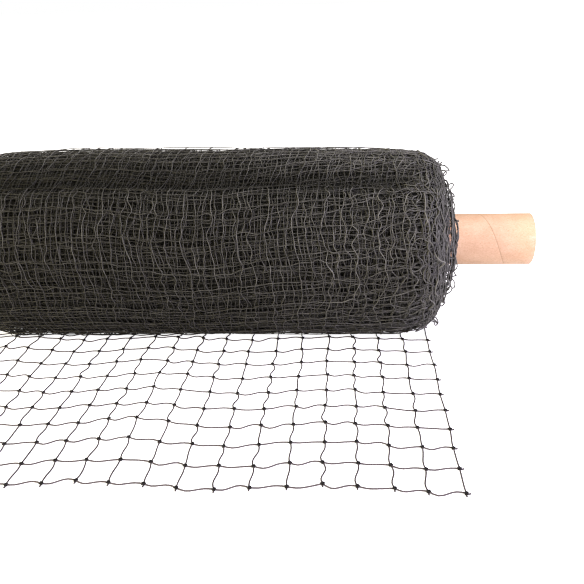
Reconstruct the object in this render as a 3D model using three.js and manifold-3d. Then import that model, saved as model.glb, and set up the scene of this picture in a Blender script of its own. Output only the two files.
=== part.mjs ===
// A roll of knotted safety net wound on a spiral paper tube, with its loose end laid out in front.
// Lengths are in millimetres and angles in degrees.
// X runs along the tube, the loose end lies towards -Y, and the floor is z = 0.
import * as THREE from "three";
import Module from "manifold-3d";
import { mergeVertices } from "three/addons/utils/BufferGeometryUtils.js";

// The net: square meshes of twisted yarn, tied at every crossing
const MESH = 25; // from knot to knot, both ways
const MESHES_ACROSS = 18;
const MESHES_LOOSE = 10; // rows of meshes in the loose end
const YARN_WIDTH = 1.6;
const YARN_HEIGHT = 1.5;
const KNOT_WIDTH = 3.4;
const KNOT_HEIGHT = 3;
const KNOT_NECK = 4; // from the middle of a knot to where its yarn is down to its own width
const CUT_END = 4; // yarn left past the middle of a knot on a cut edge
const YARN_BOW = 1.1; // how far a strand strays to either side of the straight line

// The roll
const ROLL_LENGTH = 494;
const ROLL_RADIUS = 93.5; // over the end of the last turn
const FLAT_SAG = 1.5; // how far the roll's weight presses its underside in
const LAYER_STEP = 4; // thickness of the last turn, where the loose end leaves it
const LEAVING_LINE = -8.6; // y of the line under the roll where the loose end leaves
const SWELL = 1; // the winding is a little fuller in some stretches
const SWELL_LENGTH = 300;
const SWELL_START = -140; // x of a full stretch
const TURN_STEPS = 80; // sides to one turn
const BODY_STATIONS = 9; // sections between the two rounded ends

// The paper tube
const TUBE_LENGTH = 648;
const TUBE_RADIUS = 25;
const TUBE_WALL = 2.5;
const TUBE_SIDES = 48;
const CLEARANCE = 0.3; // between neighbouring pieces

// Each end of the roll, from the tube outwards: distance in from the end, and radius there
const END_PROFILE = [
  { inset: 0, radius: 30 },
  { inset: 3, radius: 41.5 },
  { inset: 9, radius: 60 },
  { inset: 15, radius: 74 },
  { inset: 20, radius: 82 },
  { inset: 28, radius: 88 },
  { inset: 40, radius: 92 },
  { inset: 56, radius: ROLL_RADIUS },
];

// Soft troughs along the roll: angle above the front, half width and depth
const CREASES = [{ aboveFront: 53, halfWidth: 6, depth: 3.2 }];

// Waves in the loose end: how far the knots stray in x and y, with the phase gained per column and row
const WANDERINGS = [
  { acrossBy: 0, alongBy: 3.4, perColumn: 52.9, perRow: 0, phase: 164 },
  { acrossBy: 1.8, alongBy: 0, perColumn: 26.5, perRow: 0, phase: -3 },
  { acrossBy: 0.7, alongBy: 0.9, perColumn: 151, perRow: 113, phase: 75 },
];
const SKEW = -0.0083; // the rows turn this much towards the front over their width

// Places where the loose end stands off the floor: column and row from the right, reach in meshes, height
const LIFTS = [
  { column: 10, row: 7, reach: 1.1, height: 4.4 },
  { column: 9.6, row: 4.4, reach: 1, height: 3.2 },
  { column: 11, row: 2.5, reach: 0.8, height: 2 },
  { column: 16.4, row: 1.9, reach: 1.2, height: 2.6 },
];

const AXIS_HEIGHT = ROLL_RADIUS - FLAT_SAG;
const FIRST_ROW = LEAVING_LINE - CLEARANCE - CUT_END;
const MERGE_DISTANCE = 1e-4; // points closer than this are one

const wasm = await Module();
wasm.setup();

const radians = THREE.MathUtils.degToRad;

// A closed mesh as a solid that can be cut
function solidOf(geometry) {
  const bare = geometry.clone();
  bare.deleteAttribute("normal");
  bare.deleteAttribute("uv");
  const merged = mergeVertices(bare, MERGE_DISTANCE);
  const mesh = new wasm.Mesh({
    numProp: 3,
    vertProperties: Float32Array.from(merged.attributes.position.array),
    triVerts: Uint32Array.from(merged.index.array),
  });
  return new wasm.Manifold(mesh);
}

// A cut solid as a mesh again
function geometryOf(solid) {
  const mesh = solid.getMesh();
  return indexedGeometry(mesh.vertProperties, mesh.triVerts);
}

function indexedGeometry(positions, triangles) {
  const geometry = new THREE.BufferGeometry();
  geometry.setAttribute("position", new THREE.Float32BufferAttribute(positions, 3));
  geometry.setIndex(Array.from(triangles));
  geometry.computeVertexNormals();
  return geometry;
}

// A profile of [radius, x] pairs turned about the tube's axis
function turned(profile) {
  const points = profile.map(([radius, x]) => new THREE.Vector2(radius, x));
  const geometry = new THREE.LatheGeometry(points, TUBE_SIDES);
  geometry.rotateZ(-Math.PI / 2);
  geometry.translate(0, 0, AXIS_HEIGHT);
  return geometry;
}

// The paper tube: a plain wall, cut square at both ends
function tubeGeometry() {
  const end = TUBE_LENGTH / 2;
  const bore = TUBE_RADIUS - TUBE_WALL;
  return turned([[bore, -end], [TUBE_RADIUS, -end], [TUBE_RADIUS, end], [bore, end], [bore, -end]]);
}

// Sections of the roll from left to right: x and radius
function rollStations() {
  const half = ROLL_LENGTH / 2;
  const left = END_PROFILE.map(({ inset, radius }) => ({ x: inset - half, radius }));
  const right = END_PROFILE.map(({ inset, radius }) => ({ x: half - inset, radius })).reverse();
  const shoulder = right[0].x;
  const body = [];
  for (let station = 1; station <= BODY_STATIONS; station++) {
    const x = shoulder * ((2 * station) / (BODY_STATIONS + 1) - 1);
    body.push({ x, radius: ROLL_RADIUS });
  }
  return [...left, ...body, ...right];
}

// How deep the creases are at an angle measured up from the front of the roll
function creaseDepth(aboveFront) {
  return CREASES.reduce((depth, crease) => {
    const away = (aboveFront - crease.aboveFront) / crease.halfWidth;
    return depth + crease.depth * Math.exp(-away * away);
  }, 0);
}

// The roll's surface. The last turn ends in a step under the roll: from there the turn goes back,
// up and over the top, and loses one thickness of net by the time it comes down the front.
function rollPoint(station, step) {
  const share = step / TURN_STEPS;
  const leavingAngle = Math.atan2(-AXIS_HEIGHT, LEAVING_LINE);
  const angle = leavingAngle + share * 2 * Math.PI;
  const aboveFront = 180 - THREE.MathUtils.radToDeg(angle);
  const fullness = SWELL * Math.cos((2 * Math.PI * (station.x - SWELL_START)) / SWELL_LENGTH);
  const risen = 0.5 + 0.5 * Math.sin(angle); // none at the floor, all of it at the top
  const wound = ROLL_RADIUS - LAYER_STEP * share - creaseDepth(aboveFront) + fullness * risen;
  const radius = (wound * station.radius) / ROLL_RADIUS;
  const height = Math.max(0, AXIS_HEIGHT + radius * Math.sin(angle));
  return [station.x, radius * Math.cos(angle), height];
}

// The wound net as one solid: rings of points from end to end, closed at the axis, and the tube's way cut out
function rollGeometry() {
  const stations = rollStations();
  const around = TURN_STEPS + 1;
  const positions = [];
  for (const station of stations) {
    for (let step = 0; step < around; step++) {
      positions.push(...rollPoint(station, step));
    }
  }
  const leftMiddle = stations.length * around;
  const rightMiddle = leftMiddle + 1;
  const lastRing = (stations.length - 1) * around;
  positions.push(stations[0].x, 0, AXIS_HEIGHT);
  positions.push(stations[stations.length - 1].x, 0, AXIS_HEIGHT);

  const triangles = [];
  for (let step = 0; step < around; step++) {
    const next = (step + 1) % around;
    for (let ring = 0; ring < lastRing; ring += around) {
      const [a, b, c, d] = [ring + step, ring + next, ring + around + next, ring + around + step];
      triangles.push(a, b, c, a, c, d);
    }
    triangles.push(leftMiddle, next, step);
    triangles.push(rightMiddle, lastRing + step, lastRing + next);
  }

  const end = TUBE_LENGTH / 2;
  const way = TUBE_RADIUS + CLEARANCE;
  const tubeWay = turned([[0, -end], [way, -end], [way, end], [0, end]]);
  return geometryOf(solidOf(indexedGeometry(positions, triangles)).subtract(solidOf(tubeWay)));
}

// Where a knot of the loose end lies. Columns count from the right, rows from the roll,
// and the first row still lies straight along the roll.
function knotPlace(column, row) {
  const free = Math.min(1, row);
  const place = new THREE.Vector3(
    MESH * (MESHES_ACROSS / 2 - column),
    FIRST_ROW - MESH * row + free * SKEW * MESH * column,
    0,
  );
  for (const wave of WANDERINGS) {
    const phase = radians(wave.perColumn * column + wave.perRow * row + wave.phase);
    place.x += free * wave.acrossBy * Math.sin(phase);
    place.y += free * wave.alongBy * Math.cos(phase);
  }
  for (const lift of LIFTS) {
    const away = Math.hypot(column - lift.column, row - lift.row) / lift.reach;
    place.z += free * lift.height * Math.exp(-away * away);
  }
  return place;
}

// Sides of a knot, going round from the right, and the way each one faces
const RIGHT = 0;
const BACK = 1;
const LEFT = 2;
const FRONT = 3;
const OUTWARD = [
  new THREE.Vector3(1, 0, 0),
  new THREE.Vector3(0, 1, 0),
  new THREE.Vector3(-1, 0, 0),
  new THREE.Vector3(0, -1, 0),
];
const SIDES = OUTWARD.length;

// Knots, strands and cut ends as one closed mesh, flat underneath. Every strand is three-sided: a section
// has a left and a right point below and a top point, seen by someone who walks along the strand.
class KnottedMesh {
  positions = [];
  triangles = [];

  addPoint(point) {
    return this.positions.push(point.x, point.y, point.z) / 3 - 1;
  }

  addFace(...corners) {
    for (let corner = 2; corner < corners.length; corner++) {
      this.triangles.push(corners[0], corners[corner - 1], corners[corner]);
    }
  }

  // Four corners below, one between each side and the next, and a top
  addKnot(place) {
    const half = KNOT_WIDTH / 2;
    const corners = OUTWARD.map((outward, side) => {
      const next = OUTWARD[(side + 1) % SIDES];
      return this.addPoint(place.clone().addScaledVector(outward, half).addScaledVector(next, half));
    });
    this.addFace(corners[LEFT], corners[BACK], corners[RIGHT], corners[FRONT]);
    const top = this.addPoint(place.clone().setZ(place.z + KNOT_HEIGHT));
    return { place, corners, top };
  }

  // The section of a knot where a strand leaves it, and where one comes in
  wayOut(knot, side) {
    return { left: knot.corners[side], right: knot.corners[(side + SIDES - 1) % SIDES], top: knot.top };
  }

  wayIn(knot, side) {
    const { left, right, top } = this.wayOut(knot, side);
    return { left: right, right: left, top };
  }

  joinSections(from, to) {
    this.addFace(from.left, to.left, to.right, from.right);
    this.addFace(from.left, from.top, to.top, to.left);
    this.addFace(from.right, to.right, to.top, from.top);
  }

  // A strand from one knot to the next, straying sideways by one amount near its start and one near its end
  addStrand(start, side, finish, strays) {
    const run = finish.place.clone().sub(start.place);
    const along = run.clone().normalize();
    const leftward = new THREE.Vector3(-along.y, along.x, 0).normalize();
    const [first, second] = [KNOT_NECK, run.length() - KNOT_NECK].map((distance, which) => {
      const middle = start.place.clone().addScaledVector(along, distance);
      middle.addScaledVector(leftward, strays[which]);
      return {
        left: this.addPoint(middle.clone().addScaledVector(leftward, YARN_WIDTH / 2)),
        right: this.addPoint(middle.clone().addScaledVector(leftward, -YARN_WIDTH / 2)),
        top: this.addPoint(middle.clone().setZ(middle.z + YARN_HEIGHT)),
      };
    });
    this.joinSections(this.wayOut(start, side), first);
    this.joinSections(first, second);
    this.joinSections(second, this.wayIn(finish, (side + SIDES / 2) % SIDES));
  }

  // A pointed end of yarn past an edge knot
  addCutEnd(knot, side) {
    const { left, right, top } = this.wayOut(knot, side);
    const tip = this.addPoint(knot.place.clone().addScaledVector(OUTWARD[side], CUT_END));
    this.addFace(left, tip, right);
    this.addFace(left, top, tip);
    this.addFace(right, tip, top);
  }
}

// How far the strands that start at a knot stray, so that no two neighbours bend alike
function strandStrays(column, row) {
  const turn = (column + 2 * row) ** 2;
  return [YARN_BOW * Math.sin(turn), YARN_BOW * Math.cos(turn + column)];
}

// The loose end as one solid, with the gaps open between its strands
function looseNetGeometry() {
  const net = new KnottedMesh();
  const knots = [];
  for (let row = 0; row <= MESHES_LOOSE; row++) {
    knots.push([]);
    for (let column = 0; column <= MESHES_ACROSS; column++) {
      knots[row].push(net.addKnot(knotPlace(column, row)));
    }
  }
  for (let row = 0; row <= MESHES_LOOSE; row++) {
    for (let column = 0; column < MESHES_ACROSS; column++) {
      net.addStrand(knots[row][column], LEFT, knots[row][column + 1], strandStrays(column, row));
    }
    net.addCutEnd(knots[row][0], RIGHT);
    net.addCutEnd(knots[row][MESHES_ACROSS], LEFT);
  }
  for (let column = 0; column <= MESHES_ACROSS; column++) {
    for (let row = 0; row < MESHES_LOOSE; row++) {
      net.addStrand(knots[row][column], FRONT, knots[row + 1][column], strandStrays(column, row));
    }
    net.addCutEnd(knots[0][column], BACK);
    net.addCutEnd(knots[MESHES_LOOSE][column], FRONT);
  }
  return indexedGeometry(net.positions, net.triangles);
}

function piece(name, geometry, material) {
  const mesh = new THREE.Mesh(geometry, material);
  mesh.name = name;
  return mesh;
}

const blackNet = new THREE.MeshStandardMaterial({ color: 0x2e2b28, roughness: 0.55, metalness: 0 });
const blackYarn = new THREE.MeshStandardMaterial({ color: 0x2a2523, roughness: 0.5, metalness: 0 });
const kraftPaper = new THREE.MeshStandardMaterial({ color: 0xe3b88f, roughness: 0.7, metalness: 0 });

const netRoll = new THREE.Group();
netRoll.add(piece("core_tube", tubeGeometry(), kraftPaper));
netRoll.add(piece("net_roll", rollGeometry(), blackNet));
netRoll.add(piece("net_loose_end", looseNetGeometry(), blackYarn));

export default netRoll;
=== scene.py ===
# %% [markdown]
# # A roll of knotted safety net
#
# A black net with square meshes is wound on a paper tube, and its loose end lies drawn out on the floor.
# Everything that shows is yarn, knots or paper, so the lesson builds three things: the loose end, the tube,
# and the wound net. The wound net is made as it is in the factory, as one long net laid on a spiral, because
# the dark depth between the threads of a real roll comes from the turns below and not from a colour. Its
# yarn is still painted darker further in, as painted shade of the turns above.
#
# The imported solids are loaded first. They say where each piece goes, and the new pieces take their place.

import bmesh
import bpy
import numpy as np
from mathutils import Matrix


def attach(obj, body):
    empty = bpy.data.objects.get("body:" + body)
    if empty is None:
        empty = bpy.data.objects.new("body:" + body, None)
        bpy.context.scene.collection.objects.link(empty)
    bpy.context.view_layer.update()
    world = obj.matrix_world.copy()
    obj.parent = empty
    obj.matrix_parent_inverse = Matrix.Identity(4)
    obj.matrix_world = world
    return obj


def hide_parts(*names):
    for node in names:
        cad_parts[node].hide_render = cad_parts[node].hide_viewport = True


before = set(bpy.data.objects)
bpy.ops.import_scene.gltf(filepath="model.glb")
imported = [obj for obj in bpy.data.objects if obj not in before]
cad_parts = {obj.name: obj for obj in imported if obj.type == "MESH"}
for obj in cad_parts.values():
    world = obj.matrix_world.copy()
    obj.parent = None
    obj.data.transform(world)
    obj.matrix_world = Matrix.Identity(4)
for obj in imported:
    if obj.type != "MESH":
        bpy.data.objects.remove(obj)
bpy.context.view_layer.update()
print("solids:", sorted(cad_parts))

# %% [markdown]
# ## The camera
#
# The camera stands in front and a little to the right of the roll's middle and looks down on it. Its place
# and angles were worked out from the knots of the loose end, which lie on a nearly even square grid. A camera
# object looks along its own minus Z, so the three directions of its picture are the columns of its matrix.
#
# Each pixel gathers light from a little beyond its own square. For thin dark threads that reach is kept
# narrow, because a wider one would blur them into grey.

# %% Place the camera
MM = 0.001  # lengths are in millimetres until they go into a mesh or an object
PHOTO_PIXELS = 584
FOCAL_PIXELS = 668.16
SENSOR_WIDTH = 36.0
NEAREST_SEEN = 10.0
CAMERA_PLACE = np.array([141.3, -637.5, 314.6])
LOOK_DOWN, LOOK_RIGHT, TILT = np.radians([23.598, -4.748, 2.011])
PIXEL_REACH = 1.25  # width, in pixels, of what one pixel gathers light from

ahead = np.array([
    np.sin(LOOK_RIGHT) * np.cos(LOOK_DOWN),
    np.cos(LOOK_RIGHT) * np.cos(LOOK_DOWN),
    -np.sin(LOOK_DOWN),
])
level = np.array([np.cos(LOOK_RIGHT), -np.sin(LOOK_RIGHT), 0])
upward = np.cross(level, ahead)
picture_right = np.cos(TILT) * level - np.sin(TILT) * upward
picture_up = np.sin(TILT) * level + np.cos(TILT) * upward

camera = bpy.data.objects.new("camera", bpy.data.cameras.new("camera"))
camera.data.sensor_width = SENSOR_WIDTH
camera.data.lens = FOCAL_PIXELS / PHOTO_PIXELS * SENSOR_WIDTH
camera.data.clip_start = NEAREST_SEEN * MM
axes = np.eye(4)
axes[:3, :3] = np.stack([picture_right, picture_up, -ahead], axis=1)
axes[:3, 3] = CAMERA_PLACE * MM
camera.matrix_world = Matrix(axes)
bpy.context.scene.collection.objects.link(camera)
bpy.context.scene.camera = camera
bpy.context.scene.cycles.filter_width = PIXEL_REACH
print("lens:", round(camera.data.lens, 2), "mm")

# %% [markdown]
# ## Arrays into meshes
#
# Every piece below is a numpy array of points and a few arrays of faces. One function puts them into a mesh
# in one go, which is thousands of times quicker than adding vertices one by one. Yarn also brings a UV map
# and, for each vertex, a number that says how grey it is drawn, which on the roll holds painted light and
# shade.

# %% A mesh from arrays


def surface_piece(name, points, face_sets, materials, uv=None, face_materials=None, grey_and_painted_light=None):
    """A new object from points in millimetres and arrays of faces, one array for each number of corners."""
    corners = np.concatenate([faces.ravel() for faces in face_sets])
    sizes = np.concatenate([np.full(len(faces), faces.shape[1]) for faces in face_sets])
    mesh = bpy.data.meshes.new(name)
    mesh.vertices.add(len(points))
    mesh.vertices.foreach_set("co", (points * MM).astype(np.float32).ravel())
    mesh.loops.add(len(corners))
    mesh.loops.foreach_set("vertex_index", corners.astype(np.int32))
    mesh.polygons.add(len(sizes))
    mesh.polygons.foreach_set("loop_start", (np.cumsum(sizes) - sizes).astype(np.int32))
    mesh.polygons.foreach_set("use_smooth", np.ones(len(sizes), dtype=bool))
    for material in materials:
        mesh.materials.append(material)
    if face_materials is not None:
        mesh.polygons.foreach_set("material_index", face_materials.astype(np.int32))
    if uv is not None:
        layer = mesh.uv_layers.new(name="yarn")
        layer.uv.foreach_set("vector", uv.astype(np.float32).ravel())
    if grey_and_painted_light is not None:
        grey = mesh.attributes.new("grey_and_painted_light", "FLOAT", "POINT")
        grey.data.foreach_set("value", grey_and_painted_light.astype(np.float32))
    mesh.update(calc_edges=True)
    mesh.validate()
    piece = bpy.data.objects.new(name, mesh)
    bpy.context.scene.collection.objects.link(piece)
    print(name, "has", int((sizes - 2).sum()), "triangles")
    return piece


# %% [markdown]
# ## Colours and material nodes
#
# Colours are written as they look on a screen, as sRGB hex values. Blender's shaders work with linear light,
# so one function turns the one into the other. A second small function adds a node, sets it up and links it.

# %% Colour and node helpers


def linear(hex_colour):
    """An sRGB hex colour as linear red, green, blue and a full alpha."""
    channels = np.array([int(hex_colour[at:at + 2], 16) for at in (1, 3, 5)]) / 255
    light = np.where(channels <= 0.04045, channels / 12.92, ((channels + 0.055) / 1.055) ** 2.4)
    return (*light.tolist(), 1.0)


def add_node(material, kind, settings=None, links=None):
    """Adds a node: settings go to its properties or else its sockets, links join outputs to its sockets."""
    node = material.node_tree.nodes.new(kind)
    for name, value in (settings or {}).items():
        if isinstance(name, str) and hasattr(node, name):
            setattr(node, name, value)
        else:
            node.inputs[name].default_value = value
    for name, output in (links or {}).items():
        material.node_tree.links.new(output, node.inputs[name])
    return node


def new_material(name):
    """A material without any nodes yet."""
    material = bpy.data.materials.new(name)
    material.use_nodes = True
    material.node_tree.nodes.clear()
    return material


# %% [markdown]
# ## The floor
#
# The roll lies on a white floor in a white studio. A floor that only reflects light would turn out grey, so
# it glows as well. The glow is there for rays that come straight from the camera and lights nothing. Right
# under the roll the glow is taken away, which paints a contact shadow there, so that no white shows through
# the lowest turns.

# %% White floor
FLOOR_GLOW = 0.9
FLOOR_REACH = 40000
CONTACT_SHADOW = (245, 27)  # painted contact shadow: the floor is dark under the roll, this far along and across it
CONTACT_SHADOW_FADE = 0.7  # the share of that distance where the painted shadow starts to fade

floor_paint = new_material("white studio floor")
floor_ray = add_node(floor_paint, "ShaderNodeLightPath")
floor_place = add_node(floor_paint, "ShaderNodeTexCoord")
from_roll = add_node(floor_paint, "ShaderNodeVectorMath", {
    "operation": "MULTIPLY", 1: (1 / (CONTACT_SHADOW[0] * MM), 1 / (CONTACT_SHADOW[1] * MM), 0),
}, {0: floor_place.outputs["Object"]})
roll_distance = add_node(floor_paint, "ShaderNodeVectorMath", {
    "operation": "LENGTH",
}, {0: from_roll.outputs["Vector"]})
# Painted contact shadow: the glow falls to nothing under the roll
glow_outside_shadow = add_node(floor_paint, "ShaderNodeMapRange", {
    "From Min": CONTACT_SHADOW_FADE, "From Max": 1.0, "To Max": FLOOR_GLOW,
}, {"Value": roll_distance.outputs["Value"]})
floor_glow = add_node(floor_paint, "ShaderNodeMath", {
    "operation": "MULTIPLY",
}, {0: glow_outside_shadow.outputs["Result"], 1: floor_ray.outputs["Is Camera Ray"]})
floor_shader = add_node(floor_paint, "ShaderNodeBsdfPrincipled", {
    "Base Color": linear("#f0f0f0"), "Roughness": 0.9, "Specular IOR Level": 0.1,
    "Emission Color": linear("#ffffff"),
}, {"Emission Strength": floor_glow.outputs["Value"]})
add_node(floor_paint, "ShaderNodeOutputMaterial", links={"Surface": floor_shader.outputs["BSDF"]})
floor_corners = FLOOR_REACH * np.array([[-1, -1, 0], [1, -1, 0], [1, 1, 0], [-1, 1, 0]])
floor = surface_piece("floor", floor_corners, [np.array([[0, 1, 2, 3]])], [floor_paint])

# %% [markdown]
# ## Light
#
# In a white studio light comes from all round and shadows are faint. A white world gives that even light. It
# looks whiter to the camera than it shines on the roll, so that the black net keeps its depth. Two tall strip
# lamps in front, a warm one on the left and a cooler one on the right, give the threads their narrow shine,
# and two wide lamps above and behind light the top.

# %% World and lamps
STUDIO_LIGHT = 0.22  # light from all round
STUDIO_SEEN = 1.0  # how white the studio looks

world = bpy.data.worlds.new("white studio")
world.use_nodes = True
world.node_tree.nodes.clear()
ray = add_node(world, "ShaderNodeLightPath")
seen_or_lit = add_node(world, "ShaderNodeMapRange", {
    "To Min": STUDIO_LIGHT, "To Max": STUDIO_SEEN,
}, {"Value": ray.outputs["Is Camera Ray"]})
sky = add_node(world, "ShaderNodeBackground", {
    "Color": linear("#ffffff"),
}, {"Strength": seen_or_lit.outputs["Result"]})
add_node(world, "ShaderNodeOutputWorld", links={"Surface": sky.outputs["Background"]})
bpy.context.scene.world = world
bpy.context.scene.view_settings.view_transform = "Standard"

# Places and sizes, width first, in metres
LAMPS = {
    "lamp_left": {"place": (-1.3, -1.0, 0.7), "size": (0.3, 0.7), "watts": 23, "colour": "#fff3c4"},
    "lamp_right": {"place": (1.4, -1.0, 0.7), "size": (0.3, 0.7), "watts": 31, "colour": "#e6dcff"},
    "lamp_above": {"place": (0.6, -0.2, 1.5), "size": (1.0, 0.8), "watts": 16, "colour": "#ffffff"},
    "lamp_behind": {"place": (-0.8, 1.4, 1.0), "size": (1.2, 0.8), "watts": 14, "colour": "#fff8ee"},
}
LAMP_AIM = np.array([0, 0, 0.09])
for lamp_name, lamp_facts in LAMPS.items():
    lamp = bpy.data.objects.new(lamp_name, bpy.data.lights.new(lamp_name, "AREA"))
    lamp.data.shape = "RECTANGLE"
    lamp.data.size = lamp_facts["size"][0]
    lamp.data.size_y = lamp_facts["size"][1]
    lamp.data.energy = lamp_facts["watts"]
    lamp.data.color = linear(lamp_facts["colour"])[:3]
    lamp_back = np.array(lamp_facts["place"]) - LAMP_AIM
    lamp_back /= np.linalg.norm(lamp_back)
    lamp_side = np.cross([0, 0, 1], lamp_back)
    lamp_side /= np.linalg.norm(lamp_side)
    lamp_axes = np.eye(4)
    lamp_axes[:3, :3] = np.stack([lamp_side, np.cross(lamp_back, lamp_side), lamp_back], axis=1)
    lamp_axes[:3, 3] = lamp_facts["place"]
    lamp.matrix_world = Matrix(lamp_axes)
    lamp.visible_camera = False
    bpy.context.scene.collection.objects.link(lamp)
print("lamps:", sorted(LAMPS))

# %% [markdown]
# ## Yarn
#
# The net is tied from a thin twisted cord. Each yarn is a round profile carried along a path. A curve object
# with a bevel would do the same, but a net has hundreds of paths, and as arrays they are all swept at once.
# The way up beside each path keeps the profile from spinning, and a UV map runs round and along the yarn for
# its twist.

# %% Carry a round profile along many paths
TWO_PI = 2 * np.pi


def unit(vectors):
    """Vectors of length one."""
    return vectors / np.linalg.norm(vectors, axis=-1, keepdims=True)


def carry_yarn(paths, ups, radius, sides, grey_and_painted_light, closed=False):
    """Tubes along paths of shape (yarns, stations, 3): the centre plus a circle across the path.

    The circle is radius * (cos turn * beside + sin turn * above), where beside is square to the path and to
    the way up. A closed path joins its last ring to its first, and any other path has a lid on both ends.
    """
    if closed:
        along = unit(np.roll(paths, -1, axis=1) - np.roll(paths, 1, axis=1))
    else:
        along = unit(np.gradient(paths, axis=1))
    beside = unit(np.cross(along, ups))[:, :, None, :]
    above = np.cross(beside, along[:, :, None, :])
    turn = TWO_PI * np.arange(sides)[:, None] / sides
    points = paths[:, :, None, :] + radius * (np.cos(turn) * beside + np.sin(turn) * above)

    here = np.arange(points[..., 0].size).reshape(points.shape[:3])
    onward = np.roll(here, -1, axis=1)
    steps = np.linalg.norm(np.roll(paths, -1, axis=1) - paths, axis=-1)
    ends = []
    distance = np.cumsum(steps, axis=1) - steps
    if not closed:
        ends = [np.concatenate([here[:, 0], here[:, -1, ::-1]])]
        here, onward, steps, distance = here[:, :-1], onward[:, :-1], steps[:, :-1], distance[:, :-1]
    walls = np.stack([here, onward, np.roll(onward, -1, axis=2), np.roll(here, -1, axis=2)], axis=-1)

    side = np.broadcast_to(np.arange(sides), walls.shape[:3])
    near = np.broadcast_to(distance[:, :, None], walls.shape[:3])
    far = near + steps[:, :, None]
    wall_uv = np.stack([side, near, side, far, side + 1, far, side + 1, near], axis=-1)
    wall_uv = wall_uv.reshape(-1, 4, 2) / [sides, 1]
    end_uv = np.zeros((sum(lid.size for lid in ends), 2))
    uv = np.concatenate([wall_uv.reshape(-1, 2), end_uv])
    return points.reshape(-1, 3), [walls.reshape(-1, 4), *ends], uv, np.repeat(grey_and_painted_light, sides)


def joined(parts):
    """Several yarns as one set of points, faces, UVs and greys, with faces of the same size in one array."""
    points = np.concatenate([part[0] for part in parts])
    starts = np.cumsum([0] + [len(part[0]) for part in parts])
    faces, uvs = {}, {}
    for start, (_, face_sets, uv, _) in zip(starts, parts):
        at = 0
        for face_set in face_sets:
            corners = face_set.shape[1]
            faces.setdefault(corners, []).append(face_set + start)
            uvs.setdefault(corners, []).append(uv[at:at + face_set.size])
            at += face_set.size
    face_sets = [np.concatenate(sets) for sets in faces.values()]
    uv = np.concatenate([piece for sets in uvs.values() for piece in sets])
    return points, face_sets, uv, np.concatenate([part[3] for part in parts])


# %% [markdown]
# ## A net from rows and columns of knots
#
# A net is a grid of knots with one yarn along each row and one along each column. Between two knots a yarn
# strays from the straight line in a bow and an S, because the cord keeps the bends that tying and packing
# gave it. The net is first worked out flat, as distances across and along it, and is then laid on the floor
# or the roll.

# %% Yarns between the knots of a grid


def between_knots(knots, steps):
    """Values at even steps from knot to knot along the last axis, straight from one to the next."""
    share = np.arange(steps) / steps
    values = knots[..., :-1, None] * (1 - share) + knots[..., 1:, None] * share
    return np.concatenate([values.reshape(*knots.shape[:-1], -1), knots[..., -1:]], axis=-1)


def strays_between(amounts, steps):
    """How far a yarn strays from the line: the n-th amount times sin(n half turns a strand), added up."""
    half_turns = np.pi * np.arange(steps) / steps
    values = sum(amount[..., None] * np.sin(n * half_turns) for n, amount in enumerate(amounts, 1))
    values = values.reshape(*values.shape[:-2], -1)
    return np.concatenate([values, np.zeros_like(values[..., :1])], axis=-1)


def waves(columns, rows, per_column, per_row, rng, whole=False, count=32):
    """Smooth unevenness about one unit high: a sum of sine waves with random slopes per column and per row.

    With whole set, the second slopes are whole numbers, so that the sum repeats with every turn of a roll.
    """
    column_rate = rng.normal(0, per_column, count)
    row_rate = rng.normal(0, per_row, count)
    if whole:
        row_rate = np.round(row_rate)
    start = rng.uniform(0, 1, count)
    phase = columns[..., None] * column_rate + rows[..., None] * row_rate + start
    return np.sqrt(2 / count) * np.sin(TWO_PI * phase).sum(axis=-1)


# %% [markdown]
# ## Twisted polyethylene yarn
#
# The cord is black polyethylene: a few fine filaments twisted together, smooth and slightly waxy. To the eye
# that gives a deep black with a soft grey shine along each thread and fine slanting grooves. The real twist
# repeats every 2 mm and would vanish at this distance, so it is drawn at 3 mm.
#
# How grey the yarn is drawn differs from place to place on the net, so each vertex carries it as a number,
# which the material reads as an attribute and breaks up into dusty patches. On the roll that number holds
# painted light and shade.

# %% Yarn material
TWIST_LENGTH = 3.0
PLIES = 2
GROOVE_SHADE = 0.05  # painted shade in the grooves and painted highlight on the ridges, as a share of the yarn's own grey
GROOVE_DEPTH = 0.15
DUST_PATCH = 18.0
DUST_SHARES = (0.6, 1.4)  # the least and the most that dust makes of the grey and painted light


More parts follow.
